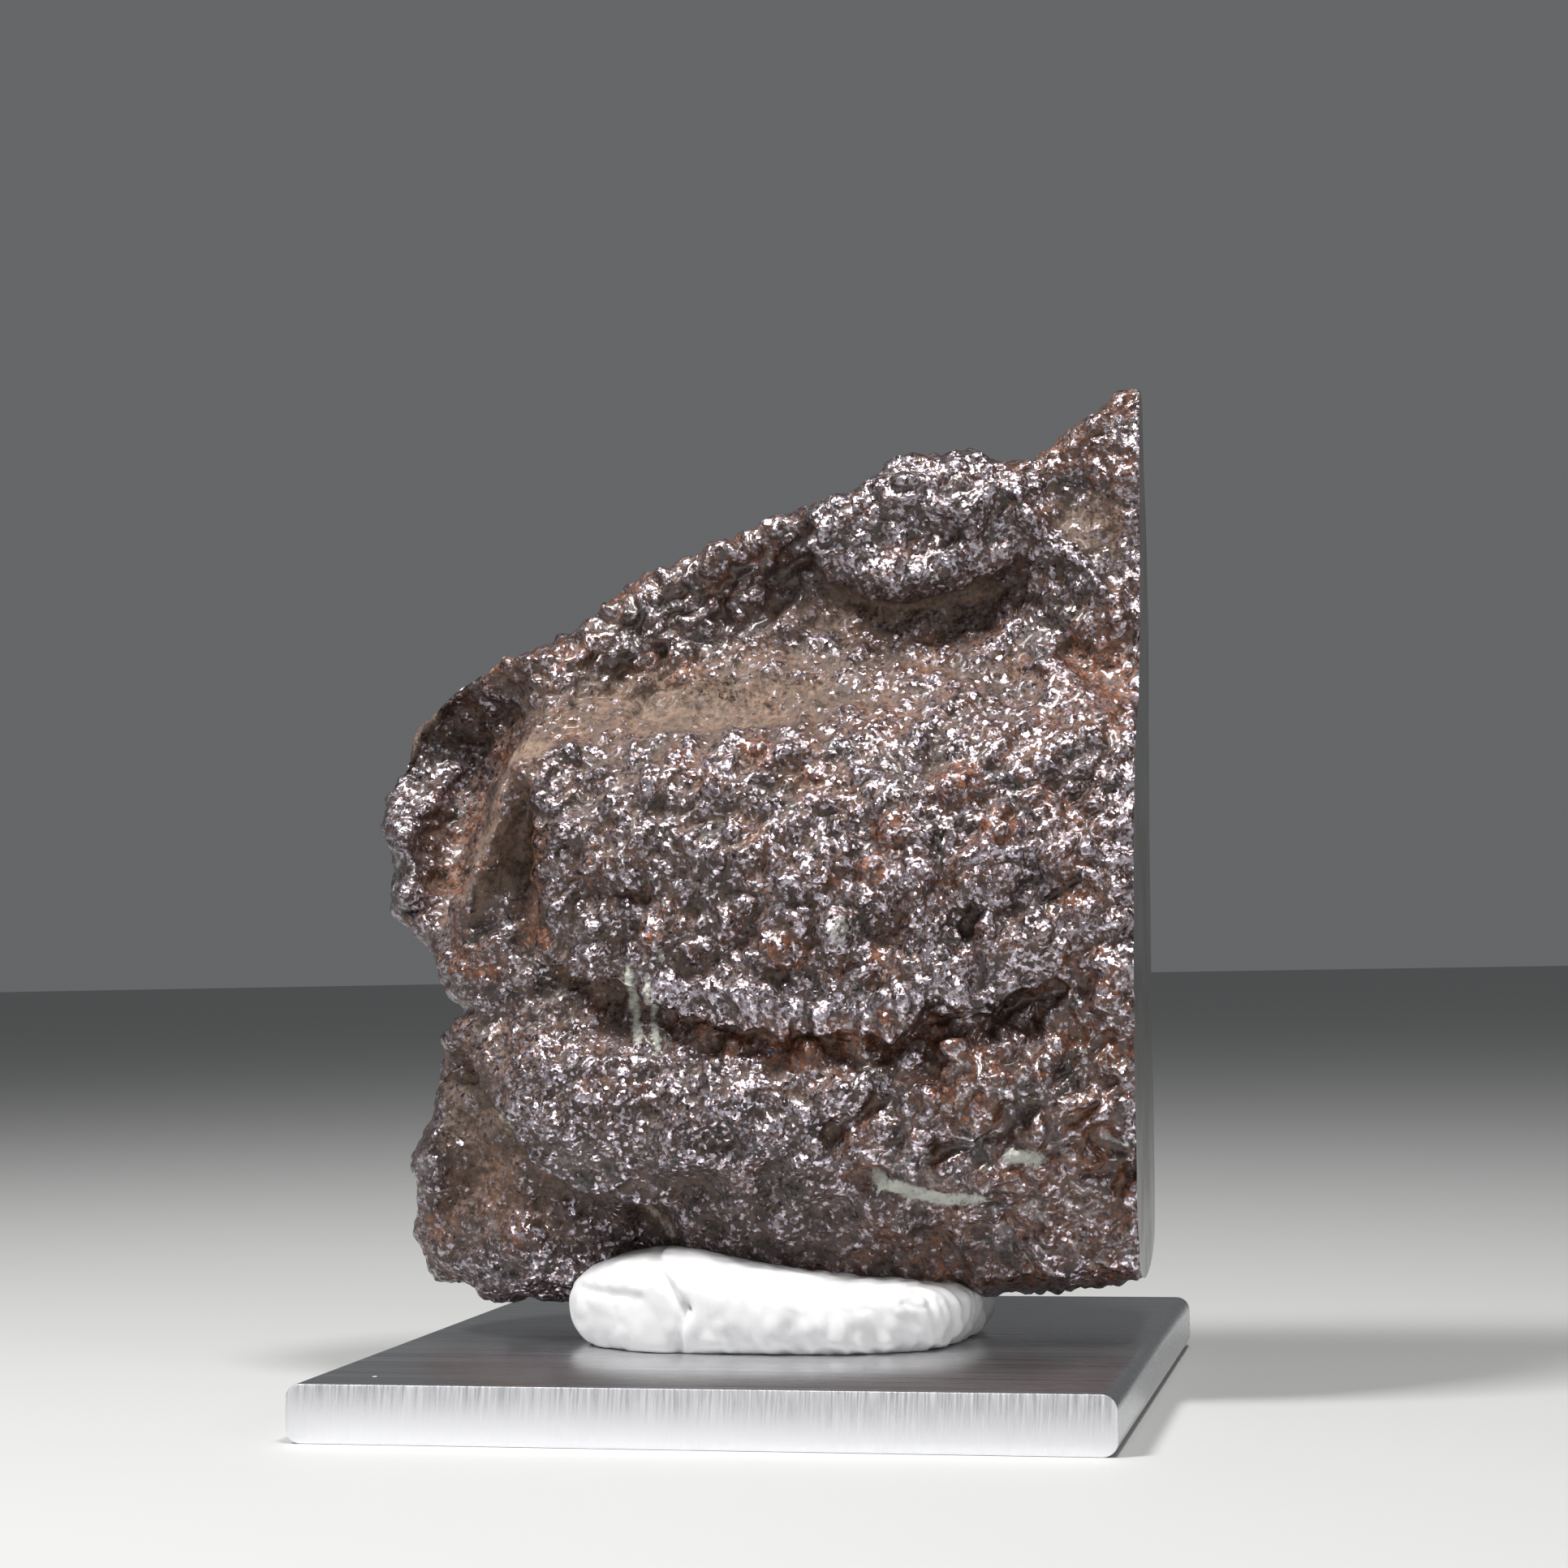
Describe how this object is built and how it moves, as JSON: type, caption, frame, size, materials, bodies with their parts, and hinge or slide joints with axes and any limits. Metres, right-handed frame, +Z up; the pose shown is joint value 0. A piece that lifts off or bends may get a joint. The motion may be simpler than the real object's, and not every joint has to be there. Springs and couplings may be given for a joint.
{
  "type": "iron meteorite on a stand",
  "caption": "Iron meteorite with one flat sawn side and a ledged, thumbprinted crust, held upright by a lump of white putty on a small metal plate.",
  "frame": {"origin": "middle of the plate's underside", "axes": "+Z up, +X to the right along the plate's front edge, -Y towards the viewer who faces the ledged front"},
  "size_m": [0.0437, 0.042, 0.0548],
  "materials": {
    "crust": "dark brown, oiled semi-gloss natural iron crust with rust-orange and tan patches; satin grey on the sawn side",
    "putty": "white hand-pressed putty, slightly glossy, with finger ridges and creases",
    "plate": "brushed along the front edge on top, saw-marked front end"
  },
  "bodies": {
    "root": {"meteorite": "crust", "putty": "putty", "plate": "plate"}
  },
  "joints": []
}
